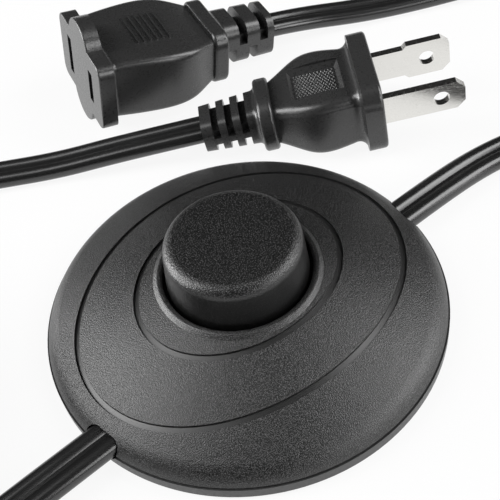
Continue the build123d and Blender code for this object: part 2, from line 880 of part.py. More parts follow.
# Cord on the table: chosen points, straight runs and arcs as large as the runs allow
def flat_cord(points):
    """Flat cord along its route, lying on its broad side."""
    radii = bend_radii(points)
    path = FilletPolyline(*points, radius=radii)
    across = Vector(0, 0, 1).cross(path % 0)
    section = Plane(path @ 0, x_dir=across, z_dir=path % 0) * SlotOverall(cord_width, cord_thickness)
    solid = sweep(section, path=path)
    share = solid.volume / (section.area * path.length)
    print("bend radii", [round(radius, 1) for radius in radii])
    print("length", round(path.length, 1), "volume over section times length", round(share, 4))
    return solid


def lying_place(x, y, heading_deg, foot_drop, foot_back, tail_drop, tail_back):
    """Where the plug or the connector lies: its tail leans down until foot and tail touch the table."""
    lean = math.atan2(foot_drop - tail_drop, abs(tail_back - foot_back))
    face_z = foot_drop * math.cos(lean) + abs(foot_back) * math.sin(lean) + table_gap
    turn = math.copysign(math.degrees(lean), tail_back)
    return Pos(x, y, face_z) * Rot(0, 0, heading_deg) * Rot(0, turn, 0)


plug_place = lying_place(
    plug_face_x,
    plug_face_y,
    plug_heading_deg,
    plug_flange_height / 2,
    -plug_flange_length,
    plug_collar_height / 2,
    plug_relief_length - plug_length,
)
connector_place = lying_place(
    connector_face_x,
    connector_face_y,
    connector_heading_deg,
    connector_bulge_height + connector_bulge_radius,
    connector_head_length,
    connector_relief_end_height / 2,
    connector_length,
)
plug_cord_end = (plug_place * Pos(-plug_length, 0, 0)).position
connector_cord_end = (connector_place * Pos(connector_length, 0, 0)).position
coil_turn_radius = coil_outer_radius - coil_slack - cord_thickness / 2
coil_middle_z = coil_bottom + coil_height / 2
table_z = cord_thickness / 2 + table_gap

line_route = [
    (-jacket_end_x, cord_offset_y, cord_centre_z),
    (-38.0, cord_offset_y, cord_centre_z),
    (-64.0, -4.6, 2.2),
    (coil_centre_x, coil_centre_y - coil_turn_radius, 4.0),
]
plug_route = [
    (coil_centre_x, coil_centre_y + coil_turn_radius, coil_middle_z + cord_width / 2),
    (-67.0, 81.4, 8.0),
    (-46.0, 79.0, 3.8),
    (-29.5, 72.4, 1.9),
    (-15.0, 63.5, table_z),
    (-4.0, 56.0, 1.9),
    (5.8, 49.4, 3.4),
    tuple((plug_place * Pos(-plug_length - relief_lead, 0, 0)).position),
    tuple(plug_cord_end),
]
load_route = [
    (jacket_end_x, cord_offset_y, cord_centre_z),
    (38.0, cord_offset_y, cord_centre_z),
    (57.5, -5.4, 1.9),
    (72.0, -10.5, table_z),
    (86.0, -20.5, table_z),
    (104.0, -25.5, table_z),
    (121.0, -17.5, table_z),
    (129.0, 0.5, table_z),
    (122.5, 18.0, table_z),
    (107.0, 28.0, table_z),
    (91.0, 36.5, table_z),
    (74.5, 45.0, 1.9),
    tuple((connector_place * Pos(connector_length + relief_lead, 0, 0)).position),
    tuple(connector_cord_end),
]


def line_cord_coil():
    """Outer shape of the wound length, a ring lying on the table."""
    section = RectangleRounded(coil_outer_radius - coil_inner_radius, coil_height, coil_round)
    middle = Pos((coil_outer_radius + coil_inner_radius) / 2, coil_middle_z)
    ring = revolve(Plane.XZ * (middle * section), Axis.Z)
    return Pos(coil_centre_x, coil_centre_y, 0) * ring


def coil_tie():
    """Flat band closed round the wound cord at one place."""
    radial = coil_outer_radius - coil_inner_radius
    outside = RectangleRounded(radial + 2 * tie_thickness, coil_height + 2 * tie_thickness, coil_round)
    middle = (coil_outer_radius + coil_inner_radius) / 2
    band = extrude(Plane.XZ * Pos(middle, coil_middle_z) * outside, tie_width / 2, both=True)
    place = Pos(coil_centre_x, coil_centre_y, 0) * Rot(0, 0, tie_angle_deg)
    return place * band - line_cord_coil()


write("upper_housing", upper_housing())
write("base_cover", base_cover())
write("push_button", push_button())
write("cam_rotor", cam_rotor())
write("return_spring", return_spring())
write("bridge_contact", bridge_contact())
write("line_contact", fixed_contact(-1))
write("load_contact", fixed_contact(1))
write("housing_screws", Compound(children=[Pos(x, y, 0) * case_screw() for x, y in case_screw_places]))
contact_screws = [small_screw(x, y, contact_top_z) for x, y in contact_screw_places()]
write("contact_screws", Compound(children=contact_screws))
ear_seat_z = cord_centre_z + clamp_ear_height
clamp_screws = [small_screw(x, y, ear_seat_z) for x, y in clamp_screw_places()]
write("clamp_screws", Compound(children=clamp_screws))
write("line_cord_clamp", cord_clamp(-1))
write("load_cord_clamp", cord_clamp(1))
write("line_core", live_core(-1))
write("load_core", live_core(1))
write("neutral_core", neutral_core())
write("line_cord", flat_cord(line_route))
write("line_cord_coil", line_cord_coil())
write("coil_tie", coil_tie())
write("plug_cord", flat_cord(plug_route))
write("load_cord", flat_cord(load_route))
write("plug_body", plug_place * plug_body())
line_blade, neutral_blade = plug_blades()
write("plug_line_blade", plug_place * line_blade)
write("plug_neutral_blade", plug_place * neutral_blade)
write("connector_body", connector_place * connector_body())
write("connector_line_contact", connector_place * connector_contact(-1, line_slot_height))
write("connector_neutral_contact", connector_place * connector_contact(1, neutral_slot_height))
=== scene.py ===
"""In-line foot switch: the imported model's pieces in their real finishes, with its flat cords laid out."""
import json
import math

import bpy
from mathutils import Matrix, Vector


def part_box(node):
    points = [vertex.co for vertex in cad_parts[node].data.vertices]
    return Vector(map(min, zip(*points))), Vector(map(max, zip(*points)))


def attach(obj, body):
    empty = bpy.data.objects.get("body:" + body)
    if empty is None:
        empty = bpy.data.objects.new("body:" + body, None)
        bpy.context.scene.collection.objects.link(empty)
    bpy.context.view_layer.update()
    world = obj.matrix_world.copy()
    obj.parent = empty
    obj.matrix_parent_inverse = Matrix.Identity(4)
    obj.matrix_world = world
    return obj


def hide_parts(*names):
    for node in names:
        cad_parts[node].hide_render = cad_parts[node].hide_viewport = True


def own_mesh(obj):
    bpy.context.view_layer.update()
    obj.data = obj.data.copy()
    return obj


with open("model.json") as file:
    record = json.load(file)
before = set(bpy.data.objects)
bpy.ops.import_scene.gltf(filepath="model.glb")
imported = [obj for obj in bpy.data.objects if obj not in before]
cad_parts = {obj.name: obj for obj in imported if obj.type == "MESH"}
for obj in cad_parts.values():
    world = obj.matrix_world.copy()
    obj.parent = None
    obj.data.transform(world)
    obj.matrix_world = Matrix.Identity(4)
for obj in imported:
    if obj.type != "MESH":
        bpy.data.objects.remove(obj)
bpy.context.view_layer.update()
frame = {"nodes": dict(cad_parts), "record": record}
scene = bpy.context.scene
scene.view_settings.view_transform = "Standard"

# Base cover: a flat moulding of hard charcoal plastic that closes the switch from below.
# It carries the pivot and the contact posts, and its smooth edge shows as a band under the dome.


class Signal:
    """A node's output, written into sums as a plain value; each sum adds its Math node."""

    def __init__(self, graph, socket):
        self.graph = graph
        self.socket = socket

    def maths(self, operation, *values):
        return self.graph.node("ShaderNodeMath", {"operation": operation}, dict(enumerate(values)))

    def __add__(self, other):
        return self.maths("ADD", self, other)

    def __radd__(self, other):
        return self.maths("ADD", other, self)

    def __sub__(self, other):
        return self.maths("SUBTRACT", self, other)

    def __rsub__(self, other):
        return self.maths("SUBTRACT", other, self)

    def __mul__(self, other):
        return self.maths("MULTIPLY", self, other)

    def __rmul__(self, other):
        return self.maths("MULTIPLY", other, self)

    def __truediv__(self, other):
        return self.maths("DIVIDE", self, other)

    def __rtruediv__(self, other):
        return self.maths("DIVIDE", other, self)

    def __lt__(self, other):
        return self.maths("LESS_THAN", self, other)

    def __gt__(self, other):
        return self.maths("GREATER_THAN", self, other)

    def at_least(self, limit):
        return self.maths("MAXIMUM", self, limit)

    def at_most(self, limit):
        return self.maths("MINIMUM", self, limit)


class Graph:
    """A node tree whose nodes are added one by one."""

    def __init__(self, tree):
        self.tree = tree

    def node(self, kind, settings=None, sockets=None, output=0):
        """Adds a node: its settings first, then the values or links of its sockets."""
        node = self.tree.nodes.new(kind)
        for setting, value in (settings or {}).items():
            setattr(node, setting, value)
        for key, value in (sockets or {}).items():
            self.feed(self.open_socket(node.inputs, key), value)
        return Signal(self, self.open_socket(node.outputs, output)) if node.outputs else None

    def open_socket(self, sockets, key):
        """The socket of that name or number that the node's settings leave open."""
        if isinstance(key, int):
            return sockets[key]
        return next(socket for socket in sockets if socket.name == key and socket.enabled)

    def feed(self, socket, value):
        if isinstance(value, Signal):
            self.tree.links.new(value.socket, socket)
        else:
            socket.default_value = value

    def ramp(self, value, low, high, to_low=0.0, to_high=1.0):
        """Carries a value smoothly from one range to another, and holds it at both ends."""
        limits = {"Value": value, "From Min": low, "From Max": high, "To Min": to_low, "To Max": to_high}
        return self.node("ShaderNodeMapRange", {"interpolation_type": "SMOOTHSTEP"}, limits)

    def mix(self, share, first, second):
        """One colour where the share is 0 and another where it is 1."""
        colours = {"Factor": share, "A": first, "B": second}
        return self.node("ShaderNodeMix", {"data_type": "RGBA"}, colours, "Result")


class Finish(Graph):
    """One material: a principled shader, and the nodes that vary it over the surface."""

    def __init__(self, name, constants):
        self.material = bpy.data.materials.new(name)
        self.material.use_nodes = True
        super().__init__(self.material.node_tree)
        self.shader = self.tree.nodes["Principled BSDF"]
        for socket, value in constants.items():
            self.vary(socket, value)

    def vary(self, socket, value):
        self.feed(self.shader.inputs[socket], value)

    def place(self):
        """The x, y and z of a point on the piece, in metres."""
        spot = self.node("ShaderNodeTexCoord", output="Object")
        return [self.node("ShaderNodeSeparateXYZ", {}, {"Vector": spot}, axis) for axis in "XYZ"]

    def noise(self, size, detail=2.0, stretch=(1, 1, 1)):
        """Soft random cells of about this size, in metres."""
        spot = self.node("ShaderNodeTexCoord", output="Object")
        scaled = self.node("ShaderNodeMapping", {}, {"Vector": spot, "Scale": stretch})
        cells = {"Vector": scaled, "Scale": 1 / size, "Detail": detail, "Roughness": 0.6}
        return self.node("ShaderNodeTexNoise", {}, cells, "Fac")

    def mottle(self, cells, colours, roughness, limits=(0.3, 0.7)):
        """Carries the colour and the roughness from one end to the other over these cells."""
        self.vary("Base Color", self.mix(cells, *colours))
        self.vary("Roughness", self.ramp(cells, *limits, *roughness))

    def bump(self, height, depth):
        """Raises the surface where the height is 1, by this depth in metres."""
        self.vary("Normal", self.node("ShaderNodeBump", {}, {"Height": height, "Distance": depth}))


def grey(level):
    return (level, level, level, 1.0)


def dress(finish, *nodes):
    """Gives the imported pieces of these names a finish."""
    for name in nodes:
        piece = frame["nodes"][name]
        piece.data.materials.clear()
        piece.data.materials.append(finish.material)


base_plastic = Finish("base_plastic", {"Specular IOR Level": 0.76})
base_haze = base_plastic.noise(size=0.0006)
base_plastic.mottle(base_haze, colours=(grey(0.014), grey(0.024)), roughness=(0.36, 0.46))
base_plastic.bump(base_plastic.noise(size=0.0003), depth=0.000012)
dress(base_plastic, "base_cover")

# Contacts and screws: brass strips stamped and bent to shape, a little tarnished.
# Zinc-plated steel screws hold the strips, the cord clamps and the two mouldings together.
deep_brass = (0.62, 0.42, 0.16, 1.0)
pale_brass = (0.78, 0.58, 0.27, 1.0)
stamped_brass = Finish("stamped_brass", {"Metallic": 1.0})
brass_tarnish = stamped_brass.noise(size=0.003, detail=4.0)
stamped_brass.mottle(brass_tarnish, (deep_brass, pale_brass), roughness=(0.22, 0.38), limits=(0.2, 0.8))
dress(stamped_brass, "bridge_contact", "line_contact", "load_contact")
dress(stamped_brass, "connector_line_contact", "connector_neutral_contact")

dull_zinc = (0.56, 0.57, 0.59, 1.0)
bright_zinc = (0.74, 0.75, 0.76, 1.0)
zinc_plate = Finish("zinc_plate", {"Metallic": 1.0})
zinc_bloom = zinc_plate.noise(size=0.0012, detail=3.0)
zinc_plate.mottle(zinc_bloom, (dull_zinc, bright_zinc), roughness=(0.24, 0.42), limits=(0.2, 0.8))
dress(zinc_plate, "housing_screws", "contact_screws", "clamp_screws")

# Cord clamps and cores: moulded saddles press the cord into its bed at each end of the disc.
# Past them the jacket is stripped, and each core runs on in its own black insulation.
clamp_plastic = Finish("clamp_plastic", {"Specular IOR Level": 0.5})
clamp_haze = clamp_plastic.noise(size=0.0008)
clamp_plastic.mottle(clamp_haze, colours=(grey(0.040), grey(0.060)), roughness=(0.42, 0.52))
dress(clamp_plastic, "line_cord_clamp", "load_cord_clamp")

core_insulation = Finish("core_insulation", {"Specular IOR Level": 0.5})
core_haze = core_insulation.noise(size=0.0007)
core_insulation.mottle(core_haze, colours=(grey(0.012), grey(0.020)), roughness=(0.28, 0.36))
dress(core_insulation, "line_core", "load_core", "neutral_core")

# Cam rotor: moulded in pale acetal, with two spiral grooves that the button's pegs run in.
# It sits on the base's pivot and carries the brass star.
warm_acetal = (0.72, 0.71, 0.66, 1.0)
pale_acetal = (0.80, 0.79, 0.75, 1.0)
rotor_acetal = Finish("rotor_acetal", {"Specular IOR Level": 0.5, "Subsurface Weight": 0.1})
acetal_cloud = rotor_acetal.noise(size=0.0020)
rotor_acetal.mottle(acetal_cloud, colours=(warm_acetal, pale_acetal), roughness=(0.34, 0.44))
dress(rotor_acetal, "cam_rotor")

# Return spring: round steel wire wound open, with its end turns closed up so that it sits flat.
# It stands on the rotor's flange and lifts the button, and it is pressed shorter with it.
spring_low, spring_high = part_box("return_spring")
spring_wire = 0.0008
spring_turns = 5.5
closed_turns = 1.0
closed_pitch = 0.00088
wire_points_per_turn = 40
wire_sides = 12


class Shape(Graph):
    """A geometry tree with named sizes, run once and kept as a plain mesh."""

    def __init__(self, name):
        super().__init__(bpy.data.node_groups.new(name, "GeometryNodeTree"))
        self.tree.interface.new_socket("Geometry", in_out="OUTPUT", socket_type="NodeSocketGeometry")
        self.sizes = {}

    def size(self, name, value):
        """A size that the tree takes from its modifier under this name."""
        socket = self.tree.interface.new_socket(name, in_out="INPUT", socket_type="NodeSocketFloat")
        self.sizes[socket.identifier] = value
        return self.node("NodeGroupInput", output=name)

    def make(self, name, geometry, material):
        """Ends the tree in real faces of this material, and keeps them as a new object's mesh."""
        realized = self.node("GeometryNodeRealizeInstances", {}, {"Geometry": geometry})
        coated = self.node("GeometryNodeSetMaterial", {}, {"Geometry": realized, "Material": material})
        self.node("NodeGroupOutput", {}, {"Geometry": coated})
        holder = bpy.data.objects.new(name, bpy.data.meshes.new(name))
        scene.collection.objects.link(holder)
        modifier = holder.modifiers.new(name, "NODES")
        modifier.node_group = self.tree
        for identifier, value in self.sizes.items():
            modifier[identifier] = value
        evaluated = holder.evaluated_get(bpy.context.evaluated_depsgraph_get())
        made = bpy.data.meshes.new_from_object(evaluated)
        holder.modifiers.remove(modifier)
        holder.data = made
        made.materials.clear()
        made.materials.append(material)
        return holder


wound_spring = Shape("wound_spring")
coil_radius = wound_spring.size("Coil radius", (spring_high.x - spring_low.x - spring_wire) / 2)
wire_radius = wound_spring.size("Wire radius", spring_wire / 2)
turns = wound_spring.size("Turns", spring_turns)
foot = wound_spring.size("Foot", spring_low.z + spring_wire / 2)
head = wound_spring.size("Head", spring_high.z - spring_wire / 2)
wire_points = int(wire_points_per_turn * spring_turns)
wire_line = wound_spring.node("GeometryNodeCurvePrimitiveLine", {}, {"End": (0.0, 0.0, 1.0)})
wire_line = wound_spring.node("GeometryNodeResampleCurve", {}, {"Curve": wire_line, "Count": wire_points})
share = wound_spring.node("GeometryNodeSplineParameter", output="Factor")
turn_angle = share * turns * math.tau
closed_rise = closed_turns * closed_pitch
from_foot = share * turns / closed_turns
from_head = (1.0 - share) * turns / closed_turns
opened = (share * turns - closed_turns) / (turns - 2 * closed_turns)
foot_rise = from_foot.at_most(1.0) * closed_rise
head_drop = from_head.at_most(1.0) * closed_rise
open_span = head - foot - 2 * closed_rise
open_rise = opened.at_most(1.0).at_least(0.0) * open_span
wire_spot = wound_spring.node(
    "ShaderNodeCombineXYZ",
    {},
    {
        "X": turn_angle.maths("COSINE", turn_angle) * coil_radius,
        "Y": turn_angle.maths("SINE", turn_angle) * coil_radius,
        "Z": foot + foot_rise + open_rise + (closed_rise - head_drop),
    },
)
wire_line = wound_spring.node("GeometryNodeSetPosition", {}, {"Geometry": wire_line, "Position": wire_spot})
wire_section = wound_spring.node(
    "GeometryNodeCurvePrimitiveCircle", {}, {"Resolution": wire_sides, "Radius": wire_radius}
)
wire = wound_spring.node(
    "GeometryNodeCurveToMesh", {}, {"Curve": wire_line, "Profile Curve": wire_section, "Fill Caps": True}
)
spring = wound_spring.make("wound_return_spring", wire, zinc_plate.material)
spring.data.shade_smooth()
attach(spring, "housing")
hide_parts("return_spring")
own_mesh(spring)

# Upper housing: a domed shell moulded in charcoal plastic with a fine grain, screwed on from below.
# The mould is polished along the lower edge and in the two oval grooves, so those stay smooth.
rim_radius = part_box("base_cover")[1].x
lip_foot_radius = 0.0150
groove_width = 0.0010
inner_groove_end_reach = 0.0034
inner_groove_side_reach = 0.0002
outer_groove_end_margin = 0.00465
outer_groove_side_margin = 0.0109
groove_half_sizes = [
    (lip_foot_radius + inner_groove_end_reach, lip_foot_radius + inner_groove_side_reach),
    (rim_radius - outer_groove_end_margin, rim_radius - outer_groove_side_margin),
]
polish_height = 0.0020
polish_fade = 0.0007
polished_roughness = 0.36
polished_lightness = 0.28
# The grain's colour is painted light: black for painted shade in its pits, a lighter grey for painted
# glints on its raised cells.
pit_shade_black = grey(0.001)
dome_glint_grey = grey(0.052)
dome_glint_limits = (0.48, 0.66)


def inside_oval(across, along, half_length, half_width):
    """1 within an oval round the button's axis, and 0 outside it."""
    length_share = across / half_length
    width_share = along / half_width
    return length_share * length_share + width_share * width_share < 1.0


dome_plastic = Finish("dome_plastic", {"Specular IOR Level": 0.82})
dome_x, dome_y, dome_z = dome_plastic.place()
polished = 1.0 - dome_plastic.ramp(dome_z, polish_height, polish_height + polish_fade)
for half_length, half_width in groove_half_sizes:
    edge = groove_width / 2
    outer = inside_oval(dome_x, dome_y, half_length + edge, half_width + edge)
    inner = inside_oval(dome_x, dome_y, half_length - edge, half_width - edge)
    polished = polished.at_least(outer - inner)
grained = 1.0 - polished
dome_pits = dome_plastic.noise(size=0.00016, detail=0.0)
# Painted glints on the raised grain, with painted shade between them; the polished parts take one even tone
# of the plastic.
dome_glints_and_polish_tone = dome_plastic.ramp(dome_pits, *dome_glint_limits) * grained
dome_glints_and_polish_tone = dome_glints_and_polish_tone + polished * polished_lightness
grain_roughness = dome_plastic.ramp(dome_pits, 0.3, 0.7, to_low=0.02, to_high=0.08)
dome_plastic.vary("Base Color", dome_plastic.mix(dome_glints_and_polish_tone, pit_shade_black, dome_glint_grey))
dome_plastic.vary("Roughness", polished_roughness + grained * grain_roughness)
dome_plastic.bump(dome_pits * grained, depth=0.00006)
dress(dome_plastic, "upper_housing")

# Push button: a tapered cap of the same plastic, pressed with the foot and guided by the lip.
# Its flat top is grained, and its rounded edge and its side are grained only lightly.
button_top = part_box("push_button")[1].z
light_grain_drop = 0.0022
full_grain_drop = 0.0001
light_grain_share = 0.25
side_roughness = 0.30
grain_added_roughness = 0.09
button_glint_grey = grey(0.055)
button_glint_limits = (0.55, 0.68)
button_plastic = Finish("button_plastic", {"Specular IOR Level": 0.75})
button_grain = button_plastic.ramp(
    button_plastic.place()[2],
    button_top - light_grain_drop,
    button_top - full_grain_drop,
    to_low=light_grain_share,
)
button_pits = button_plastic.noise(size=0.00020, detail=0.0)
# Painted glints on the button's raised grain and painted shade in its pits, fewer down the rounded edge and
# the side.
button_painted_glints = button_plastic.ramp(button_pits, *button_glint_limits) * button_grain
button_plastic.vary("Base Color", button_plastic.mix(button_painted_glints, pit_shade_black, button_glint_grey))
button_plastic.vary("Roughness", side_roughness + button_grain * grain_added_roughness)
button_plastic.bump(button_pits * button_grain, depth=0.00008)
dress(button_plastic, "push_button")

# Cords: flat black vinyl cord with two cores, two round lobes joined by a thin web.
# It lies flat where it leaves the switch, and stands on its edge where it is wound or bends.
cord_thickness = 0.0033
lobe_radius = cord_thickness / 2
web_angle = math.radians(35)
points_per_lobe = 17
sharp_edge_angle = math.radians(40)
streaks_around = 40.0
streaks_per_metre = 60.0


def smooth_step(value):
    held = min(1.0, max(0.0, value))
    return held * held * (3 - 2 * held)


def cord_line(name, points):
    """The points of the smooth line that has these control points."""
    curve = bpy.data.curves.new(name, "CURVE")
    curve.dimensions = "3D"
    spline = curve.splines.new("NURBS")
    spline.points.add(len(points) - 1)
    for control, point in zip(spline.points, points):
        control.co = (*point, 1.0)
    spline.order_u = 3
    spline.use_endpoint_u = True
    spline.resolution_u = 8
    holder = bpy.data.objects.new(name, curve)
    scene.collection.objects.link(holder)
    graph = bpy.context.evaluated_depsgraph_get()
    drawn = bpy.data.meshes.new_from_object(holder.evaluated_get(graph))
    line = [vertex.co.copy() for vertex in drawn.vertices]
    bpy.data.objects.remove(holder)
    bpy.data.meshes.remove(drawn)
    return line


def cord_section():
    """The outline of the flat cord as (across, over) points, from one lobe round to the other."""
    outline = []
    for side in (1, -1):
        for step in range(points_per_lobe):
            angle = (math.pi - web_angle) * (2 * step / (points_per_lobe - 1) - 1)
            across = side * lobe_radius * (1 + math.cos(angle))
            outline.append((across, side * lobe_radius * math.sin(angle)))
    return outline


def flat_cord(name, line, flat_start, flat_end, twist, finish):
    """Sweeps the flat section along a line, flat at both ends and on its edge in between."""
    outline = cord_section()
    distances = [0.0]
    for before, after in zip(line, line[1:]):
        distances.append(distances[-1] + (after - before).length)
    whole = distances[-1]
    vertices = []
    for index, centre in enumerate(line):
        ahead = (line[min(index + 1, len(line) - 1)] - line[max(index - 1, 0)]).normalized()
        side = ahead.cross(Vector((0, 0, 1))).normalized()
        over = side.cross(ahead)
        rise = smooth_step((distances[index] - flat_start) / twist)
        fall = smooth_step((whole - flat_end - distances[index]) / twist)
        roll = math.radians(90) * min(rise, fall)
        across_way = side * math.cos(roll) + over * math.sin(roll)
        over_way = over * math.cos(roll) - side * math.sin(roll)
        for across, height in outline:
            vertices.append(centre + across_way * across + over_way * height)
    count = len(outline)
    faces = []
    runs = []
    for ring in range(len(line) - 1):
        low = ring * count
        high = low + count
        start, end = distances[ring], distances[ring + 1]
        for step in range(count):
            following = (step + 1) % count
            faces.append((low + step, low + following, high + following, high + step))
            left, right = step / count, (step + 1) / count
            runs.append([(left, start), (right, start), (right, end), (left, end)])
    faces.append(tuple(reversed(range(count))))
    faces.append(tuple(range((len(line) - 1) * count, len(line) * count)))
    mesh = bpy.data.meshes.new(name)
    mesh.from_pydata(vertices, [], faces)
    unwrapped = mesh.uv_layers.new(name="run")
    for face, corners in zip(mesh.polygons, runs):
        for corner, spot in zip(face.loop_indices, corners):
            unwrapped.data[corner].uv = spot
    mesh.shade_smooth()
    mesh.set_sharp_from_angle(angle=sharp_edge_angle)
    mesh.materials.append(finish.material)
    cord = bpy.data.objects.new(name, mesh)
    scene.collection.objects.link(cord)
    return cord


cord_vinyl = Finish("cord_vinyl", {"Specular IOR Level": 0.9})
run = cord_vinyl.node("ShaderNodeUVMap", {"uv_map": "run"})
streak_scale = (streaks_around, streaks_per_metre, 1.0)
drawn_out = cord_vinyl.node("ShaderNodeMapping", {}, {"Vector": run, "Scale": streak_scale})
streak_cells = {"Vector": drawn_out, "Scale": 1.0, "Detail": 2.0}
drawn_streak = cord_vinyl.node("ShaderNodeTexNoise", {}, streak_cells, "Fac")
cord_vinyl.mottle(drawn_streak, colours=(grey(0.010), grey(0.016)), roughness=(0.23, 0.27))


def mount(name):
    """A mount's place and the way it faces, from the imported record."""
    found = next(entry for entry in frame["record"]["mounts"] if entry["name"] == name)
    return Vector(found["pos_m"]), Vector(found["axis"]).normalized()


plug_face, plug_way = mount("plug")
socket_face, socket_way = mount("socket")
plug_length = 0.0354
socket_length = 0.0426
relief_lead = 0.0080
cord_offset = -0.0050
exit_height = 0.00325
line_route = [
    (-0.0166, cord_offset, exit_height),
    (-0.0380, cord_offset, exit_height),
    (-0.0640, -0.0046, 0.00220),
    (-0.0880, -0.0050, 0.00400),
]
plug_route = [
    (-0.0880, 0.0810, 0.01070),
    (-0.0670, 0.0814, 0.00800),
    (-0.0460, 0.0790, 0.00380),
    (-0.0295, 0.0724, 0.00190),
    (-0.0150, 0.0635, 0.00175),
    (-0.0040, 0.0560, 0.00190),
    (0.0058, 0.0494, 0.00340),
    tuple(plug_face - plug_way * (plug_length + relief_lead)),
    tuple(plug_face - plug_way * plug_length),
]
coil_low, coil_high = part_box("line_cord_coil")
coil_centre = (coil_low + coil_high) / 2
coil_outer_turn = 0.0430
coil_inner_turn = 0.0330
coil_turns = 5.5
coil_start_angle = -math.pi / 2
coil_points_per_turn = 24
climb_turns = 0.5
coil_points = []
coil_steps = int(coil_turns * coil_points_per_turn)
for step in range(1, coil_steps):
    wound = step / coil_steps
    turned = coil_start_angle - math.tau * coil_turns * wound
    outward = abs(1 - 2 * wound)
    radius = coil_inner_turn + (coil_outer_turn - coil_inner_turn) * outward
    climb = smooth_step((wound - 0.5) * coil_turns / climb_turns + 0.5)
    height = line_route[-1][2] + (plug_route[0][2] - line_route[-1][2]) * climb
    coil_points.append(
        (coil_centre.x + radius * math.cos(turned), coil_centre.y + radius * math.sin(turned), height)
    )
line_path = cord_line("line_path", line_route + coil_points + plug_route)
line_cord = flat_cord(
    "flat_line_cord", line_path, flat_start=0.047, flat_end=0.085, twist=0.035, finish=cord_vinyl
)
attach(line_cord, "housing")
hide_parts("line_cord", "line_cord_coil", "plug_cord")

load_route = [
    (0.0166, cord_offset, exit_height),
    (0.0380, cord_offset, exit_height),
    (0.0575, -0.0054, 0.00190),
    (0.0720, -0.0105, 0.00175),
    (0.0860, -0.0205, 0.00290),
    (0.1040, -0.0255, 0.00350),
    (0.1210, -0.0175, 0.00345),
    (0.1290, 0.0005, 0.00345),
    (0.1225, 0.0180, 0.00350),
    (0.1070, 0.0280, 0.00300),
    (0.0910, 0.0365, 0.00175),
    (0.0745, 0.0450, 0.00190),
    tuple(socket_face - socket_way * (socket_length + relief_lead)),
    tuple(socket_face - socket_way * socket_length),
]
load_path = cord_line("load_path", load_route)
load_cord = flat_cord(
    "flat_load_cord", load_path, flat_start=0.062, flat_end=0.058, twist=0.030, finish=cord_vinyl
)
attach(load_cord, "housing")
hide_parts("load_cord")

# Coil tie: a soft black band round the wound length, as the cord leaves the factory.
# It is cut from ribbed strip and pressed shut.
tie_band = Finish("tie_band", {"Specular IOR Level": 0.4})
tie_ribs = tie_band.noise(size=0.0009, stretch=(1.0, 6.0, 1.0))
tie_band.mottle(tie_ribs, colours=(grey(0.020), grey(0.042)), roughness=(0.45, 0.60))
tie_band.bump(tie_ribs, depth=0.00004)
dress(tie_band, "coil_tie")

# Plug: black vinyl moulded in one shot round the cord and the blades' roots.
# The grip's pocket has a knurled floor, and the blades are stamped from nickel-plated brass.
moulded_vinyl = Finish("moulded_vinyl", {"Specular IOR Level": 0.8})
vinyl_haze = moulded_vinyl.noise(size=0.0005, detail=3.0)
moulded_vinyl.mottle(vinyl_haze, colours=(grey(0.026), grey(0.036)), roughness=(0.26, 0.34))
moulded_vinyl.bump(vinyl_haze, depth=0.000015)
dress(moulded_vinyl, "plug_body")

dull_nickel = (0.74, 0.73, 0.70, 1.0)
bright_nickel = (0.86, 0.85, 0.82, 1.0)
nickel_plate = Finish("nickel_plate", {"Metallic": 1.0})
rolled_lines = nickel_plate.noise(size=0.0008, detail=3.0, stretch=(1.0, 1.0, 8.0))
nickel_plate.mottle(rolled_lines, colours=(dull_nickel, bright_nickel), roughness=(0.16, 0.28))
nickel_plate.bump(rolled_lines, depth=0.000006)
dress(nickel_plate, "plug_line_blade", "plug_neutral_blade")

pocket_back = 0.0117
pocket_floor_rise = 0.0049
pocket_floor_length = 0.0086
pocket_floor_width = 0.0072
knurl_columns = 12
knurl_rows = 6
knurl_radius = 0.00036
knurl_height = 0.00026
knurl_sides = 4
knurl_top_share = 0.35

knurl = Shape("knurled_floor")
lattice_length = knurl.size("Length", pocket_floor_length)
lattice_width = knurl.size("Width", pocket_floor_width)
dot_radius = knurl.size("Dot radius", knurl_radius)
dot_height = knurl.size("Dot height", knurl_height)
dot = knurl.node(
    "GeometryNodeMeshCone",
    {"fill_type": "NGON"},
    {
        "Vertices": knurl_sides,
        "Radius Top": dot_radius * knurl_top_share,
        "Radius Bottom": dot_radius,
        "Depth": dot_height,
    },
    "Mesh",
)
knurled = knurl.node("GeometryNodeJoinGeometry")
for columns, rows in ((knurl_columns, knurl_rows), (knurl_columns - 1, knurl_rows - 1)):
    lattice = knurl.node(
        "GeometryNodeMeshGrid",
        {},
        {
            "Size X": lattice_length * ((columns - 1) / knurl_columns),
            "Size Y": lattice_width * ((rows - 1) / knurl_rows),
            "Vertices X": columns,
            "Vertices Y": rows,
        },
        "Mesh",
    )
    dots = knurl.node("GeometryNodeInstanceOnPoints", {}, {"Points": lattice, "Instance": dot})
    knurl.feed(knurled.socket.node.inputs[0], dots)
knurl_dots = knurl.make("plug_knurl", knurled, moulded_vinyl.material)
plug_side = Vector((0, 0, 1)).cross(plug_way).normalized()
plug_up = plug_way.cross(plug_side)
plug_turn = Matrix((plug_way, plug_side, plug_up)).transposed().to_4x4()
knurl_spot = plug_face - plug_way * pocket_back + plug_up * pocket_floor_rise
knurl_dots.data.transform(Matrix.Translation(knurl_spot) @ plug_turn)
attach(knurl_dots, "housing")

# Connector: black vinyl moulded round the cord and two folded brass receptacles.
# Its face has a short slot for the line blade and a long one for the neutral.
# Ribs on its top give the fingers a hold.
dress(moulded_vinyl, "connector_body")

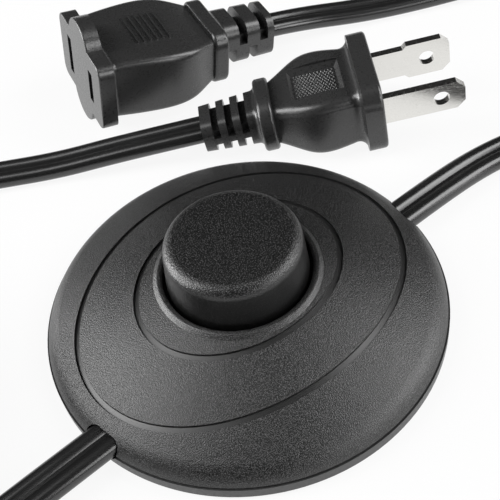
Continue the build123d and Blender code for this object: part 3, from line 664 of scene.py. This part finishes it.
# Floor: a white table top that runs out of sight, and keeps the switch's faint shadow.
# It lies just under the base, and shows white to the camera and in glossy reflections.
floor_reach = 40.0
floor_drop = 0.00005
floor_white_share = 0.9
floor_mesh = bpy.data.meshes.new("floor")
floor_corners = [
    (across * floor_reach, along * floor_reach, -floor_drop)
    for across, along in ((-1, -1), (1, -1), (1, 1), (-1, 1))
]
floor_mesh.from_pydata(floor_corners, [], [(0, 1, 2, 3)])
floor = bpy.data.objects.new("floor", floor_mesh)
scene.collection.objects.link(floor)
white_floor = Finish(
    "white_floor", {"Base Color": grey(0.90), "Roughness": 0.9, "Specular IOR Level": 0.0}
)


def ray_kinds(graph):
    """Three masks: 1 on a camera ray, on a glossy one and on a transmission one."""
    kinds = ("Is Camera Ray", "Is Glossy Ray", "Is Transmission Ray")
    return [graph.node("ShaderNodeLightPath", output=kind) for kind in kinds]


camera_ray, glossy_ray, transmission_ray = ray_kinds(white_floor)
seen_share = (camera_ray + glossy_ray + transmission_ray) * floor_white_share
glow = white_floor.node("ShaderNodeEmission", {}, {"Color": grey(1.0), "Strength": 1.0})
lit = Signal(white_floor, white_floor.shader.outputs[0])
shown = white_floor.node("ShaderNodeMixShader", {}, {0: seen_share, 1: lit, 2: glow})
white_floor.feed(white_floor.tree.nodes["Material Output"].inputs["Surface"], shown)
floor_mesh.materials.append(white_floor.material)

# Light: tall soft panels left and right, small ones at the front right and high on the left.
# Two low strips at the sides light the rim, and the room beyond the panels is almost dark.
# The camera sees a white backdrop, and so do reflections that pass close over the floor.
view_heading = math.radians(31.05)
view_right = Vector((math.cos(view_heading), -math.sin(view_heading), 0))
view_away = Vector((math.sin(view_heading), math.cos(view_heading), 0))
panel_distance = 0.75
room_grey = grey(0.02)
backdrop_full_height = 0.01
backdrop_end_height = 0.06


def softbox(name, bearing, elevation, width, height, brightness):
    """A soft panel aimed at the switch, at degrees from the view's right and over the floor."""
    lamp = bpy.data.lights.new(name, "AREA")
    lamp.shape = "RECTANGLE"
    lamp.size = width
    lamp.size_y = height
    lamp.energy = brightness * math.pi * width * height
    level = math.cos(math.radians(elevation))
    across = view_right * math.cos(math.radians(bearing)) + view_away * math.sin(math.radians(bearing))
    holder = bpy.data.objects.new(name, lamp)
    holder.location = panel_distance * (across * level + Vector((0, 0, math.sin(math.radians(elevation)))))
    holder.rotation_mode = "QUATERNION"
    holder.rotation_quaternion = (-holder.location).to_track_quat("-Z", "Y")
    scene.collection.objects.link(holder)


softbox("left", bearing=171, elevation=36, width=0.36, height=0.72, brightness=6.2)
softbox("right", bearing=357, elevation=36, width=0.34, height=0.66, brightness=5.5)
softbox("front_right", bearing=312, elevation=26, width=0.24, height=0.34, brightness=5.4)
softbox("high_left", bearing=190, elevation=70, width=0.30, height=0.30, brightness=1.7)
softbox("left_low", bearing=162, elevation=7, width=0.60, height=0.18, brightness=13.0)
softbox("right_low", bearing=355, elevation=9, width=0.50, height=0.18, brightness=2.2)
room = bpy.data.worlds.new("room")
room.use_nodes = True
studio = Graph(room.node_tree)
outlook = studio.node("ShaderNodeTexCoord", output="Generated")
outlook_height = studio.node("ShaderNodeSeparateXYZ", {}, {"Vector": outlook}, "Z")
near_floor = 1.0 - studio.ramp(outlook_height, backdrop_full_height, backdrop_end_height)
camera_ray, glossy_ray, transmission_ray = ray_kinds(studio)
backdrop_share = camera_ray + (glossy_ray + transmission_ray) * near_floor
studio.feed(
    room.node_tree.nodes["Background"].inputs["Color"],
    studio.mix(backdrop_share, room_grey, grey(1.0)),
)
scene.world = room

# Camera: close over the disc, rolled so that the cord runs up across the picture.
# The lens is shifted upwards, so that both ends of the cord show above the disc.
view_distance = 0.1575
view_elevation = math.radians(50.877)
view_roll = math.radians(11.231)
view_target = Vector((0, 0, 0.00875))
sensor_width = 36.0
focal_pixels = 931.45
picture_pixels = 500
forward = view_away * math.cos(view_elevation) - Vector((0, 0, math.sin(view_elevation)))
level_up = view_right.cross(forward)
camera_right = view_right * math.cos(view_roll) - level_up * math.sin(view_roll)
camera_up = view_right * math.sin(view_roll) + level_up * math.cos(view_roll)
lens = bpy.data.cameras.new("camera")
lens.sensor_width = sensor_width
lens.lens = focal_pixels / picture_pixels * sensor_width
lens.shift_x = 0.0195
lens.shift_y = 0.068
lens.clip_start = 0.01
camera = bpy.data.objects.new("camera", lens)
turn = Matrix((camera_right, camera_up, -forward)).transposed().to_4x4()
camera.matrix_world = Matrix.Translation(view_target - forward * view_distance) @ turn
scene.collection.objects.link(camera)
scene.camera = camera
